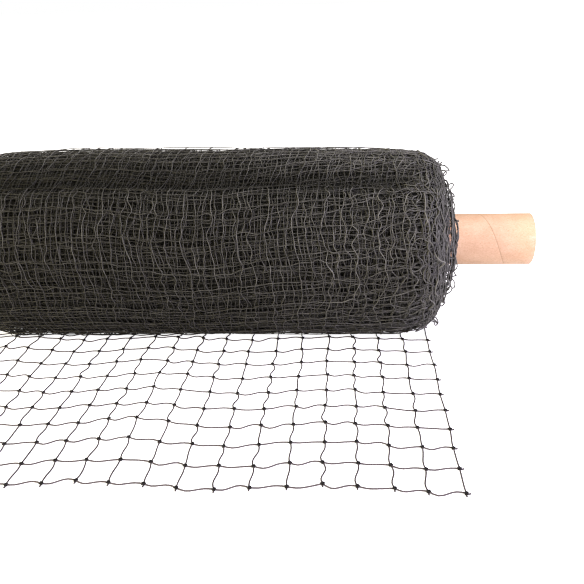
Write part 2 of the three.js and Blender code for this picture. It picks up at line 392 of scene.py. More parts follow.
def twisted_polyethylene(name, groove_colour, ridge_colour, roughness, shine):
    """Black twisted cord: slanting grooves from its own UV, patches of dust from its place, and grey and
    painted light from an attribute.
    """
    material = new_material(name)
    yarn_map = add_node(material, "ShaderNodeUVMap", {"uv_map": "yarn"})
    slant = add_node(material, "ShaderNodeVectorMath", {
        "operation": "DOT_PRODUCT", 1: (PLIES * TWO_PI, TWO_PI / TWIST_LENGTH, 0),
    }, {0: yarn_map.outputs["UV"]})
    groove = add_node(material, "ShaderNodeMath", {"operation": "SINE"}, {0: slant.outputs["Value"]})
    place = add_node(material, "ShaderNodeTexCoord")
    dust = add_node(material, "ShaderNodeTexNoise", {
        "Scale": 1 / (DUST_PATCH * MM), "Detail": 3,
    }, {"Vector": place.outputs["Object"]})
    # The attribute holds the yarn's grey and, on the roll, painted light and shade
    grey = add_node(material, "ShaderNodeAttribute", {"attribute_name": "grey_and_painted_light"})
    dusty = add_node(material, "ShaderNodeMapRange", {
        "To Min": DUST_SHARES[0], "To Max": DUST_SHARES[1],
    }, {"Value": dust.outputs["Fac"]})
    dust_and_painted_light = add_node(material, "ShaderNodeMath", {
        "operation": "MULTIPLY",
    }, {0: grey.outputs["Fac"], 1: dusty.outputs["Result"]})
    # Painted shade in the grooves and a painted highlight on the ridges of the twist
    shade = add_node(material, "ShaderNodeMath", {
        "operation": "MULTIPLY_ADD", 1: GROOVE_SHADE,
    }, {0: groove.outputs["Value"], 2: dust_and_painted_light.outputs["Value"]})
    colour = add_node(material, "ShaderNodeMix", {
        "data_type": "RGBA", 6: linear(groove_colour), 7: linear(ridge_colour),
    }, {0: shade.outputs["Value"]})
    bump = add_node(material, "ShaderNodeBump", {
        "Strength": 0.25, "Distance": GROOVE_DEPTH * MM,
    }, {"Height": groove.outputs["Value"]})
    shader = add_node(material, "ShaderNodeBsdfPrincipled", {
        "Roughness": roughness, "IOR": 1.51, "Specular IOR Level": shine,
    }, {"Base Color": colour.outputs[2], "Normal": bump.outputs["Normal"]})
    add_node(material, "ShaderNodeOutputMaterial", links={"Surface": shader.outputs["BSDF"]})
    return material


yarn_material = twisted_polyethylene("twisted polyethylene yarn", "#080505", "#5a5051", 0.6, 0.35)
print("made", yarn_material.name)

# %% [markdown]
# ## Where the knots of the loose end lie
#
# The knots lie 25 mm apart on a square grid that strays in slow waves: whole rows bend, columns lean, and a
# few places stand off the floor. The waves and lifts are the same as those of the solid, so the yarn lies
# where the solid is. Only the first row differs: on the left it lies further forward, because slack net
# bulges out there under the roll. Columns are counted from the right and rows from the roll.

# %% Where the knots lie
MESH = 25.0
MESHES_ACROSS = 18
MESHES_LOOSE = 10
ROLL_RADIUS = 93.5
PRESSED_FLAT = 1.5  # how far its own weight flattens the roll below
AXIS_HEIGHT = ROLL_RADIUS - PRESSED_FLAT
LEAVING_LINE = -8.6  # where the net comes out from under the roll
ROLL_GAP = 0.3  # between the solids of the roll and the loose end
FIRST_STEP = 4.0  # from there to the first row of knots
FIRST_ROW = LEAVING_LINE - ROLL_GAP - FIRST_STEP
SKEW = -0.0083

WANDERINGS = [
    {"across": 0, "along": 3.4, "per_column": 52.9, "per_row": 0, "phase": 164},
    {"across": 1.8, "along": 0, "per_column": 26.5, "per_row": 0, "phase": -3},
    {"across": 0.7, "along": 0.9, "per_column": 151, "per_row": 113, "phase": 75},
]
FOOT_SLACK = {"forward": 19, "middle": 35, "fade": 25}  # how far the first row lies forward on the left
LIFTS = [
    {"column": 10, "row": 7, "reach": 1.1, "height": 4.4},
    {"column": 9.6, "row": 4.4, "reach": 1, "height": 3.2},
    {"column": 11, "row": 2.5, "reach": 0.8, "height": 2},
    {"column": 16.4, "row": 1.9, "reach": 1.2, "height": 2.6},
]


def left_of(x, middle, fade):
    """One on the left and none on the right, passing softly: 1 / (1 + e to the distance / fade)."""
    return 1 / (1 + np.exp((x - middle) / fade))


def loose_knots():
    """Across, along and height of each knot: an even grid plus sine waves, with soft humps where it lifts."""
    rows, columns = np.mgrid[0:MESHES_LOOSE + 1, 0:MESHES_ACROSS + 1].astype(float)
    free = np.minimum(1, rows)
    across = MESH * (MESHES_ACROSS / 2 - columns)
    along = FIRST_ROW - MESH * rows + free * SKEW * MESH * columns
    height = np.zeros_like(rows)
    for wave in WANDERINGS:
        phase = np.radians(wave["per_column"] * columns + wave["per_row"] * rows + wave["phase"])
        across += free * wave["across"] * np.sin(phase)
        along += free * wave["along"] * np.cos(phase)
    along[0] -= FOOT_SLACK["forward"] * left_of(across[0], FOOT_SLACK["middle"], FOOT_SLACK["fade"])
    for lift in LIFTS:
        away = np.hypot(columns - lift["column"], rows - lift["row"]) / lift["reach"]
        height += free * lift["height"] * np.exp(-away ** 2)
    return across, along, height


knot_x, knot_y, knot_z = loose_knots()
print("loose end:", knot_x.shape, "rows and columns of knots")

# %% [markdown]
# ## Yarns of the loose end
#
# Each yarn runs the whole length or width of the loose end and a little past its last knot, where it was cut.
# It lies on the floor between the knots and climbs half a knot at each crossing. The crosswise yarns swing
# most, and the two yarns along the edges are pulled nearly straight.

# %% Yarns on the floor
YARN_RADIUS = 0.6
YARN_SIDES = 8
STRAND_STEPS = 8
CUT_END = 3.2
KNOT_RISE = 0.75
KNOT_SINK = 0.2  # a yarn goes into a knot this far below its middle
CLIMB_STEEPNESS = 6
ROW_ESS = -1.2  # crosswise yarns dip to the front right of a knot and rise again before the next
COLUMN_ESS = 0.7
BOW_SPREAD = {"crosswise": 1.1, "lengthwise": 0.75}
ESS_SPREAD = {"crosswise": 0.7, "lengthwise": 0.5}
TAUT_SHARE = 0.15  # what is left of the strays in a taut yarn
LOOSE_GREY = {"crosswise": 1.0, "lengthwise": 0.6, "knots": 0.0}  # how grey each is drawn

chance = np.random.default_rng(7)


def past_edges(values, before, after):
    """Adds one more value before the first and after the last along the last axis."""
    return np.concatenate([values[..., :1] + before, values, values[..., -1:] + after], axis=-1)


def loose_yarns(across, along, height, before, after, ess, kind, taut=()):
    """Yarns through rows of knots on the floor: the straight run, its strays and a rise at each knot.

    The rise is |cos(half turns from knot to knot)| to a power, so it is one at the knots and falls off soon.
    """
    across = past_edges(across, before[0], after[0])
    along = past_edges(along, before[1], after[1])
    height = past_edges(height, 0, 0)
    strands = (len(across), across.shape[1] - 1)
    bows = chance.normal(0, BOW_SPREAD[kind], strands)
    esses = ess + chance.normal(0, ESS_SPREAD[kind], strands)
    for amounts in (bows, esses):
        amounts[:, [0, -1]] = 0
        amounts[list(taut)] *= TAUT_SHARE
    stray = strays_between([bows, esses], STRAND_STEPS)
    x = between_knots(across, STRAND_STEPS)
    y = between_knots(along, STRAND_STEPS)
    run = unit(np.stack([np.gradient(x, axis=1), np.gradient(y, axis=1)], axis=-1))
    climb = np.abs(np.cos(np.pi * np.arange(x.shape[1]) / STRAND_STEPS)) ** CLIMB_STEEPNESS
    z = between_knots(height, STRAND_STEPS) + YARN_RADIUS + climb * (KNOT_RISE - KNOT_SINK)
    paths = np.stack([x - stray * run[..., 1], y + stray * run[..., 0], z], axis=-1)
    ups = np.broadcast_to([0.0, 0.0, 1.0], paths.shape)
    return carry_yarn(paths, ups, YARN_RADIUS, YARN_SIDES, np.full(x.shape, LOOSE_GREY[kind]))


rows_of_yarn = loose_yarns(knot_x, knot_y, knot_z, (CUT_END, 0), (-CUT_END, 0), ROW_ESS, "crosswise")
under_roll = FIRST_ROW + CUT_END - knot_y.T[:, :1]
columns_of_yarn = loose_yarns(knot_x.T, knot_y.T, knot_z.T, (0, under_roll), (0, -CUT_END), COLUMN_ESS,
                              "lengthwise", taut=(0, -1))
print("yarns of the loose end:", len(knot_x), "crosswise and", len(knot_x.T), "lengthwise")

# %% [markdown]
# ## Knots of the loose end
#
# A knot is drawn as what it is, a short bight of the same yarn wound through itself. A ball would be simpler,
# but close up it would look like a bead. A trefoil curve pulled tight has the right lumps, and each one is
# turned a different way.

# %% Knots and the finished loose end
KNOT_REACH = 1.6  # from the middle of a knot to the middle of its outermost yarn
KNOT_STATIONS = 12
KNOT_SIDES = 4


def trefoil_knots(places):
    """Small closed yarns: the trefoil ((2 + cos 3t) cos 2t, (2 + cos 3t) sin 2t, sin 3t), each one turned."""
    t = TWO_PI * np.arange(KNOT_STATIONS) / KNOT_STATIONS
    reach = 2 + np.cos(3 * t)
    bight = np.stack([reach * np.cos(2 * t), reach * np.sin(2 * t)], axis=-1) * KNOT_REACH / 3
    spin = chance.uniform(0, TWO_PI, len(places))
    turn = np.array([[np.cos(spin), -np.sin(spin)], [np.sin(spin), np.cos(spin)]])
    flat = np.einsum("ijk,sj->ksi", turn, bight)
    rise = np.broadcast_to(KNOT_RISE * np.sin(3 * t), flat.shape[:2])
    paths = places[:, None, :] + np.concatenate([flat, rise[..., None]], axis=-1)
    ups = np.broadcast_to([0.0, 0.0, 1.0], paths.shape)
    grey_and_painted_light = np.full(paths.shape[:2], LOOSE_GREY["knots"])
    return carry_yarn(paths, ups, YARN_RADIUS, KNOT_SIDES, grey_and_painted_light, closed=True)


knot_places = np.stack([knot_x, knot_y, knot_z + YARN_RADIUS + KNOT_RISE], axis=-1).reshape(-1, 3)
points, face_sets, uv, grey_and_painted_light = joined([rows_of_yarn, columns_of_yarn, trefoil_knots(knot_places)])
loose_end = surface_piece("loose_net", points, face_sets, [yarn_material], uv, grey_and_painted_light=grey_and_painted_light)
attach(loose_end, "root")
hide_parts("net_loose_end")

# %% [markdown]
# ## The size that the loose end was cut to
#
# The loose end is 18 meshes wide and 10 long, and a net is mostly gaps. The cloth in it is taken as the
# smallest share of that rectangle that may be stated, three tenths.

# %% [markdown]
# ## The paper tube
#
# The tube is wound from strips of kraft paper, and the edges of its outer strip meet in a fine helical seam.
# The outer face is therefore made as one strip: its two parameters are the angle turned and the distance
# across the strip, so its grid follows the seam and the seam can sink in sharply with few faces. Where the
# strip runs past an end of the tube it is cut off square, and the faces that shrink to nothing there are
# dropped.

# %% Tube surfaces
TUBE_LENGTH = 648.0
TUBE_RADIUS = 25.0
TUBE_WALL = 2.5
TUBE_SIDES = 96
RIM_ROUND = 0.25
STRIP_WIDTH = 58.0
STRIP_LINES = 7  # lines of the grid on the flat part of the strip
SEAM_AT_FRONT = 289.5  # x where the seam crosses the front of the tube
SEAM_DEPTH = 0.22
SEAM_HALF_WIDTH = 0.28
SEAM_STEPS = np.array([0, 0.14, 0.28, 0.55, 1.2])  # distances from the seam that get a line of the grid
STRIPS = np.arange(-14, 3)  # turns of the strip, counted from the one whose seam shows


def round_the_tube(x, radius, turn):
    """Points at x and radius from the tube's axis, turned from its front downwards by a share of a turn."""
    y = -radius * np.cos(TWO_PI * turn)
    z = AXIS_HEIGHT - radius * np.sin(TWO_PI * turn)
    return np.stack(np.broadcast_arrays(x, y, z), axis=-1).reshape(-1, 3)


def outer_strip(turn):
    """The outer strip: x = strip width * turns + distance across, with a notch in the radius at the seam."""
    flat_part = np.linspace(SEAM_STEPS[-1], STRIP_WIDTH - SEAM_STEPS[-1], STRIP_LINES)
    across = np.concatenate([SEAM_STEPS[:-1], flat_part, STRIP_WIDTH - SEAM_STEPS[-2:0:-1]])
    from_seam = np.minimum(across, STRIP_WIDTH - across)
    notch = np.tile(SEAM_DEPTH * np.exp(-(from_seam / SEAM_HALF_WIDTH) ** 2), len(STRIPS))
    x = SEAM_AT_FRONT + (STRIPS[:, None] * STRIP_WIDTH + across).reshape(-1, 1) + STRIP_WIDTH * turn
    cut = TUBE_LENGTH / 2 - RIM_ROUND
    radius = np.where(np.abs(x) < cut, TUBE_RADIUS - notch[:, None], TUBE_RADIUS)
    here = np.arange(x.size).reshape(x.shape)
    next_strip = np.roll(here[:, :1], -len(across), axis=0)
    down = np.concatenate([here[:, 1:], next_strip], axis=1)[:-len(across)]
    here = here[:-len(across)]
    faces = np.stack([here[:-1], down[:-1], down[1:], here[1:]], axis=-1)
    return round_the_tube(np.clip(x, -cut, cut), radius, turn), faces.reshape(-1, 4)


def ends_and_bore(turn):
    """The cut ends with their worn edges and the bore between them: one profile of x and radius, turned."""
    end, bore = TUBE_LENGTH / 2, TUBE_RADIUS - TUBE_WALL
    half = np.array([
        [end - RIM_ROUND, TUBE_RADIUS], [end, TUBE_RADIUS - RIM_ROUND],
        [end, bore + RIM_ROUND], [end - RIM_ROUND, bore],
    ])
    profile = np.concatenate([half, half[::-1] * [-1, 1]])
    here = np.arange(len(profile) * len(turn)).reshape(len(profile), len(turn))
    down = np.roll(here, -1, axis=1)
    faces = np.stack([here[:-1], down[:-1], down[1:], here[1:]], axis=-1)
    return round_the_tube(profile[:, :1], profile[:, 1:], turn), faces.reshape(-1, 4)


# %% [markdown]
# ## Kraft paper
#
# The tube's face is smooth brown kraft paper, calendered until it has a faint satin. It gives the eye a warm
# even tan with a fine grain of short fibres, small dark specks, and a thin darker line at the seam. A picture
# of paper could be wrapped round the tube, but noise that is worked out in space shows no join.

# %% Kraft paper material
CLOUD_SIZE = 14.0
FIBRE_LENGTH = 1.7
FIBRE_WIDTH = 0.9
GRAIN_TURN = 0.3  # turns the noise, so that its own grid does not run along the tube
FIBRE_SHARE = 1.1  # weight of the fibres in the tone, against one for the clouds
TONE_ENDS = (0.55, 1.55)  # sums of the two that give the darker and the lighter tan
SPECK_SPACING = 2.2
SPECK_EDGE = (0.08, 0.26)  # shares of the spacing at which a speck starts to fade and is gone
SPECK_STRENGTH = 0.5
SEAM_LINE = (0.15, 0.5)  # distances from the seam at which its dark line starts to fade and is gone
SEAM_STRENGTH = 0.4
FIBRE_RELIEF = 0.1


def kraft_paper():
    """Smooth kraft: cloudy tan, stretched noise for fibres, cell noise for specks, and a line at the seam."""
    material = new_material("spiral kraft paper")
    place = add_node(material, "ShaderNodeTexCoord")
    centred = add_node(material, "ShaderNodeMapping", {
        "Location": (0, 0, -AXIS_HEIGHT * MM),
    }, {"Vector": place.outputs["Object"]})
    cloud = add_node(material, "ShaderNodeTexNoise", {
        "Scale": 1 / (CLOUD_SIZE * MM), "Detail": 4, "Roughness": 0.6,
    }, {"Vector": place.outputs["Object"]})
    fibre_grain = add_node(material, "ShaderNodeMapping", {
        "Scale": (FIBRE_WIDTH / FIBRE_LENGTH, 1, 1), "Rotation": (0, 0, GRAIN_TURN),
    }, {"Vector": place.outputs["Object"]})
    fibre = add_node(material, "ShaderNodeTexNoise", {
        "Scale": 1 / (FIBRE_WIDTH * MM), "Detail": 2,
    }, {"Vector": fibre_grain.outputs["Vector"]})
    speck = add_node(material, "ShaderNodeTexVoronoi", {
        "Scale": 1 / (SPECK_SPACING * MM),
    }, {"Vector": place.outputs["Object"]})
    speck_edge = add_node(material, "ShaderNodeMapRange", {
        "From Min": SPECK_EDGE[0], "From Max": SPECK_EDGE[1], "To Min": SPECK_STRENGTH, "To Max": 0.0,
    }, {"Value": speck.outputs["Distance"]})
    fibre_and_cloud = add_node(material, "ShaderNodeMath", {
        "operation": "MULTIPLY_ADD", 1: FIBRE_SHARE,
    }, {0: fibre.outputs["Fac"], 2: cloud.outputs["Fac"]})
    tone = add_node(material, "ShaderNodeMapRange", {
        "From Min": TONE_ENDS[0], "From Max": TONE_ENDS[1],
    }, {"Value": fibre_and_cloud.outputs["Value"]})
    paper = add_node(material, "ShaderNodeMix", {
        "data_type": "RGBA", 6: linear("#d3a57d"), 7: linear("#eec9a4"),
    }, {0: tone.outputs["Result"]})
    specked = add_node(material, "ShaderNodeMix", {
        "data_type": "RGBA", 7: linear("#b98a5f"),
    }, {0: speck_edge.outputs["Result"], 6: paper.outputs[2]})

    parts = add_node(material, "ShaderNodeSeparateXYZ", links={"Vector": centred.outputs["Vector"]})
    down = add_node(material, "ShaderNodeMath", {"operation": "MULTIPLY", 1: -1.0}, {0: parts.outputs["Z"]})
    front = add_node(material, "ShaderNodeMath", {"operation": "MULTIPLY", 1: -1.0}, {0: parts.outputs["Y"]})
    angle = add_node(material, "ShaderNodeMath", {"operation": "ARCTAN2"}, {
        0: down.outputs["Value"], 1: front.outputs["Value"],
    })
    strip_start = add_node(material, "ShaderNodeMath", {
        "operation": "MULTIPLY_ADD", 1: -STRIP_WIDTH * MM / TWO_PI,
    }, {0: angle.outputs["Value"], 2: parts.outputs["X"]})
    from_front = add_node(material, "ShaderNodeMath", {
        "operation": "SUBTRACT", 1: SEAM_AT_FRONT * MM,
    }, {0: strip_start.outputs["Value"]})
    from_seam = add_node(material, "ShaderNodeMath", {
        "operation": "PINGPONG", 1: STRIP_WIDTH * MM / 2,
    }, {0: from_front.outputs["Value"]})
    seam_line = add_node(material, "ShaderNodeMapRange", {
        "From Min": SEAM_LINE[0] * MM, "From Max": SEAM_LINE[1] * MM, "To Min": SEAM_STRENGTH, "To Max": 0.0,
    }, {"Value": from_seam.outputs["Value"]})
    seamed = add_node(material, "ShaderNodeMix", {
        "data_type": "RGBA", 7: linear("#9a7049"),
    }, {0: seam_line.outputs["Result"], 6: specked.outputs[2]})
    bump = add_node(material, "ShaderNodeBump", {
        "Strength": 0.15, "Distance": FIBRE_RELIEF * MM,
    }, {"Height": fibre.outputs["Fac"]})
    shader = add_node(material, "ShaderNodeBsdfPrincipled", {
        "Roughness": 0.5, "IOR": 1.46, "Specular IOR Level": 0.45,
    }, {"Base Color": seamed.outputs[2], "Normal": bump.outputs["Normal"]})
    add_node(material, "ShaderNodeOutputMaterial", links={"Surface": shader.outputs["BSDF"]})
    return material


tube_paper = kraft_paper()
print("made", tube_paper.name)

# %% [markdown]
# ## Plain board
#
# The cut ends and the bore show the plain board under the paper, greyer and rougher. On the ends its thin
# plies show as rings, which are bands of the distance from the tube's axis.

# %% Board material
PLY_THICKNESS = 0.6
PLY_TONES = (0.2, 0.8)
GRIT_SIZE = 1.5
GRIT_RELIEF = 0.2


def plain_board():
    """The board inside: matt grey-brown, with rings of plies round the axis and a rough bump."""
    material = new_material("plain core board")
    place = add_node(material, "ShaderNodeTexCoord")
    centred = add_node(material, "ShaderNodeMapping", {
        "Location": (0, 0, -AXIS_HEIGHT * MM), "Scale": (0, 1, 1),
    }, {"Vector": place.outputs["Object"]})
    radius = add_node(material, "ShaderNodeVectorMath", {
        "operation": "LENGTH",
    }, {0: centred.outputs["Vector"]})
    ply = add_node(material, "ShaderNodeMath", {
        "operation": "PINGPONG", 1: PLY_THICKNESS * MM,
    }, {0: radius.outputs["Value"]})
    grit = add_node(material, "ShaderNodeTexNoise", {
        "Scale": 1 / (GRIT_SIZE * MM), "Detail": 3,
    }, {"Vector": place.outputs["Object"]})
    tone = add_node(material, "ShaderNodeMapRange", {
        "From Max": PLY_THICKNESS * MM, "To Min": PLY_TONES[0], "To Max": PLY_TONES[1],
    }, {"Value": ply.outputs["Value"]})
    uneven = add_node(material, "ShaderNodeMath", {
        "operation": "MULTIPLY",
    }, {0: tone.outputs["Result"], 1: grit.outputs["Fac"]})
    colour = add_node(material, "ShaderNodeMix", {
        "data_type": "RGBA", 6: linear("#a98561"), 7: linear("#d7b790"),
    }, {0: uneven.outputs["Value"]})
    bump = add_node(material, "ShaderNodeBump", {
        "Strength": 0.4, "Distance": GRIT_RELIEF * MM,
    }, {"Height": grit.outputs["Fac"]})
    shader = add_node(material, "ShaderNodeBsdfPrincipled", {
        "Roughness": 0.85,
    }, {"Base Color": colour.outputs[2], "Normal": bump.outputs["Normal"]})
    add_node(material, "ShaderNodeOutputMaterial", links={"Surface": shader.outputs["BSDF"]})
    return material


tube_board = plain_board()
print("made", tube_board.name)

# %% [markdown]
# ## The tube in one piece
#
# The strip, the ends and the bore were made apart, so their edges lie on each other without being joined.
# Merging the points that share a place closes the tube and drops the faces that shrank to nothing.

# %% Put the tube together
MERGE_WITHIN = 0.001

around = np.arange(TUBE_SIDES) / TUBE_SIDES
strip_points, strip_faces = outer_strip(around)
end_points, end_faces = ends_and_bore(around)
tube_points = np.concatenate([strip_points, end_points])
tube_faces = np.concatenate([strip_faces, end_faces + len(strip_points)])
is_board = np.arange(len(tube_faces)) >= len(strip_faces)
tube = surface_piece("paper_tube", tube_points, [tube_faces], [tube_paper, tube_board],
                     face_materials=is_board)
tube_mesh = bmesh.new()
tube_mesh.from_mesh(tube.data)
bmesh.ops.remove_doubles(tube_mesh, verts=tube_mesh.verts, dist=MERGE_WITHIN * MM)
tube_mesh.to_mesh(tube.data)
print("open edges of the tube:", sum(edge.is_boundary for edge in tube_mesh.edges))
tube_mesh.free()
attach(tube, "root")
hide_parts("core_tube")

# %% [markdown]
# ## The winding
#
# The wound net is the same net, 18 meshes wide, going on from the first row of the loose end: back under the
# roll, up behind, over the top and down the front, turn on turn. That is a spiral, whose radius shrinks by
# one turn's thickness each time round. A roll could be one dark cylinder with a net painted on it, but then
# no thread would stand off its edge and no gap would be deep. Here the outer turns are laid out in full.

# %% The spiral
TURN_THICKNESS = 0.35
OUTER_RADIUS = 92.6
TIGHTENING = TURN_THICKNESS / TWO_PI  # how much the radius shrinks with each radian
FIRST_ANGLE = np.arctan2(-AXIS_HEIGHT, FIRST_ROW)


def turned_by(along):
    """The angle that a length goes round: length = first radius * angle - tightening * angle^2 / 2."""
    return (OUTER_RADIUS - np.sqrt(OUTER_RADIUS ** 2 - 2 * TIGHTENING * along)) / TIGHTENING


def above_front(angle):
    """The angle in degrees above the front of the roll, from -180 to 180."""
    return (360 - np.degrees(angle)) % 360 - 180


def fading(turned, turns):
    """What is left of something that shrinks from turn to turn: e to the minus turns done / turns."""
    return np.exp(-turned / (TWO_PI * turns))


print("one turn of the winding is", round(TWO_PI * OUTER_RADIUS / MESH, 2), "meshes long")

# %% [markdown]
# ## The domed ends
#
# At each end of the roll the net is slack and sags over the turns below, so the roll ends in a dome. A turn
# runs straight until it meets the dome and then follows it down towards the tube. The dome is a list of
# points, and the distance along it tells how far over the shoulder a thread has come.

# %% From the width of the net to the roll's section
HALF_WIDTH = MESH * MESHES_ACROSS / 2
EDGE_OVERHANG = 2.0
# The dome at each end, from the roll's face down to the tube: distance from the middle and radius
DOME = np.array([
    [0, 93.5], [178, 93.2], [195, 91.9], [210, 89.6], [221, 86], [229, 80], [234, 71.5], [239, 60], [243, 50],
    [246, 40], [248.5, 30], [249.5, 26.2],
])
dome_steps = np.linalg.norm(np.diff(DOME, axis=0), axis=1)
DOME_ARC = np.concatenate([[0], np.cumsum(dome_steps)])
DOME_SLOPE = np.gradient(DOME, DOME_ARC, axis=0)


def along_turn(across, radius):
    """Where a point across the net lies in the roll's section: straight at its radius, then down the dome."""
    shoulder_arc = np.interp(-radius, -DOME[:, 1], DOME_ARC)
    shoulder = np.interp(shoulder_arc, DOME_ARC, DOME[:, 0])
    reach = np.abs(across) * np.maximum(1, (shoulder + EDGE_OVERHANG) / HALF_WIDTH)
    arc = shoulder_arc + np.maximum(0, reach - shoulder)
    over = reach > shoulder
    x = np.where(over, np.interp(arc, DOME_ARC, DOME[:, 0]), reach)
    r = np.where(over, np.interp(arc, DOME_ARC, DOME[:, 1]), radius)
    out_x = np.where(over, -np.interp(arc, DOME_ARC, DOME_SLOPE[:, 1]), 0)
    out_r = np.where(over, np.interp(arc, DOME_ARC, DOME_SLOPE[:, 0]), 1)
    side = np.sign(across)
    return side * x, r, side * out_x, out_r


print("the dome is", round(DOME_ARC[-1] - DOME_ARC[1]), "mm long from the shoulder to the tube")

# %% [markdown]
# ## The uneven face
#
# A roll of net is never evenly round. A soft crease runs along its upper front, slack net bulges low on the
# front, the top sags towards both ends, from further in on the right, and the underside draws in at both
# ends. Each of these is a soft hump or hollow in x and in the angle, and they are simply added up.

# %% Crease, swell, slack, sag and tuck
# Places are degrees above the front of the roll, and half widths are degrees as well
CREASE = {
    "above_front": 56, "half_below": 6, "x": [-100, 100], "half_above": [17, 9], "depth": 6.5, "turns": 16,
    "fades_from": 185, "end": 215,
}
SWELL = {"height": 0.7, "length": 200, "start": -100}
SLACK = {"above_front": -66, "half_width": 11, "depth": 2.2, "more_at_left": 1.8, "start": -60, "fade": 30}
# The top sags towards the right end and, further out, towards the left one
SAG = {
    "x": [-250, -230, -208, -165, -20, 100, 178, 205],
    "depth": [3.8, 2.2, 1.0, 0, 0, 2.4, 3.2, 3.9],
}
TUCK = {"start": 198, "full": 230, "depth": 4.5}  # the underside draws in towards the ends


def ramp(value, start, full):
    """None up to the start, one from full on, and a straight line between."""
    return np.clip((value - start) / (full - start), 0, 1)


def in_crease(x, angle, turned):
    """One in the crease along the upper front, falling off to all sides, steepest below, and turn by turn."""
    away = above_front(angle) - CREASE["above_front"]
    half_above = np.interp(x, CREASE["x"], CREASE["half_above"])
    half_width = np.where(away < 0, CREASE["half_below"], half_above)
    before_end = 1 - ramp(np.abs(x), CREASE["fades_from"], CREASE["end"])
    return before_end * np.exp(-(away / half_width) ** 2) * fading(turned, CREASE["turns"])


def unevenness(x, angle, turned):
    """How far the face stands out or in: a slow swell and slack, less the sag, the tuck and the crease."""
    risen = 0.5 + 0.5 * np.sin(angle)
    swell = SWELL["height"] * np.cos(TWO_PI * (x - SWELL["start"]) / SWELL["length"]) * risen
    low = np.exp(-((above_front(angle) - SLACK["above_front"]) / SLACK["half_width"]) ** 2)
    slack = SLACK["depth"] + SLACK["more_at_left"] * left_of(x, SLACK["start"], SLACK["fade"])
    slack = slack * low * fading(turned, CREASE["turns"])
    sag = np.interp(x, SAG["x"], SAG["depth"]) * risen ** 2
    tuck = TUCK["depth"] * ramp(np.abs(x), TUCK["start"], TUCK["full"]) * (1 - risen) ** 2
    return swell + slack - sag - tuck - CREASE["depth"] * in_crease(x, angle, turned)


deepest = unevenness(0.0, np.pi - np.radians(CREASE["above_front"]), 0)
print("the face lies", round(-float(deepest), 1), "mm deep in the middle of the crease")

# %% [markdown]
# ## Laying the net on the roll
#
# The three steps before are put together here: the length wound gives the angle, the width gives the place in
# the section, and the unevenness and a lift move the thread out or in. No thread goes through the floor.

# %% From the flat net to the roll
FLOOR_CLEARANCE = 1.0
FULL_RADIUS = 80.0  # below this radius unevenness shrinks with the radius


def near_face(radius):
    """One in the outer turns, and the share of the full radius further in."""
    return np.minimum(1, radius / FULL_RADIUS)


def on_roll(across, along, lift):
    """Lays flat net on the roll: angle from the length wound, x and radius from the width, plus a lift."""
    turned = turned_by(along)
    angle = FIRST_ANGLE + turned
    x, radius, out_x, out_r = along_turn(across, OUTER_RADIUS - TIGHTENING * turned)
    radius = radius + (unevenness(x, angle, turned) * near_face(radius) + lift) * out_r
    height = np.maximum(FLOOR_CLEARANCE, AXIS_HEIGHT + radius * np.sin(angle))
    points = np.stack([x + lift * out_x, radius * np.cos(angle), height], axis=-1)
    ups = np.stack([out_x, out_r * np.cos(angle), out_r * np.sin(angle)], axis=-1)
    return points, ups


first_row = on_roll(np.array([-HALF_WIDTH, HALF_WIDTH]), np.zeros(2), np.zeros(2))[0]
print("the first row runs between", first_row.round(1).tolist())

# %% [markdown]
# ## How the wound net strays
#
# No row of a wound net stays straight. Some strays come from the way it was wound and are shared by all
# turns: slow waves, and a zigzag in which every other row slips to the left and the rest to the right. Others
# differ from knot to knot. Each turn also lies further to one side than the last, so that its threads fill
# the gaps of the turns below evenly. That shift is made under the roll, out of sight.
#
# Near the ends nothing holds the meshes open, so the threads wander most there, above all in the two
# outermost turns. That slackness is worked out first, and each stray may grow with it.

# %% Slack ends and strays
# Where the meshes go slack, by the distance from the middle. On the left that starts nearer to the end.
LOOSENING = {"start": 90, "full": 222, "curve": 1.3, "later_on_left": 55}
TANGLED_TURNS = 2  # only the outermost turns come loose enough to tangle
SLACK_WITHIN = 0.45  # what is left of the slack in the turns below
# How far the knots stray in millimetres, how much further where the net is slack, and how quickly that
# changes: by column and by turn for the strays that all turns share, by column and by row for the others
STRAYS = {
    "sideways": {"even": 0.8, "slack": 0, "per_column": 0.03, "per_turn": 2.0},
    "zigzag": {"even": 0.9, "slack": 0, "per_column": 0.06, "per_turn": 1.5},
    "knot_sideways": {"even": 1.2, "slack": 3.0, "per_column": 0.3, "per_row": 0.3},
    "onward": {"even": 1.6, "slack": 0, "per_column": 0.1, "per_turn": 1.0},
    "knot_onward": {"even": 1.2, "slack": 2.6, "per_column": 0.3, "per_row": 0.3},
    "lift": {"even": 0.3, "slack": 0.8, "per_column": 0.2, "per_row": 0.2},
    "patch": {"even": 1, "slack": 0, "per_column": 0.09, "per_row": 0.25},
}

winding = np.random.default_rng(21)


def slackness(across, along):
    """None in the middle of the roll and up to one at its right end, most of it in the outermost turns."""
    outward = np.maximum(across, -across - LOOSENING["later_on_left"])
    at_end = ramp(outward, LOOSENING["start"], LOOSENING["full"]) ** LOOSENING["curve"]
    return at_end * (SLACK_WITHIN + (1 - SLACK_WITHIN) * fading(turned_by(along), TANGLED_TURNS))


def knot_strays(facts, columns, rows, turns_done, slack):
    """One stray for every knot: its amount, plus more where the net is slack, times waves over the net."""
    shared = "per_turn" in facts
    along = turns_done if shared else rows
    rate = facts["per_turn"] if shared else facts["per_row"]
    return (facts["even"] + facts["slack"] * slack) * waves(
        columns, along, facts["per_column"], rate, winding, whole=shared)


print("slackness at the right and left edge:", slackness(np.array([HALF_WIDTH, -HALF_WIDTH]), 0).round(2))

# %% [markdown]
# ## Knots of the wound net
#
# The outer turns lean where they come over the top and again just below the middle of the front, climb
# towards the right end, and bridge the hollow on top. With the strays that gives every knot its place in the
# flat net and its height above the turns below.

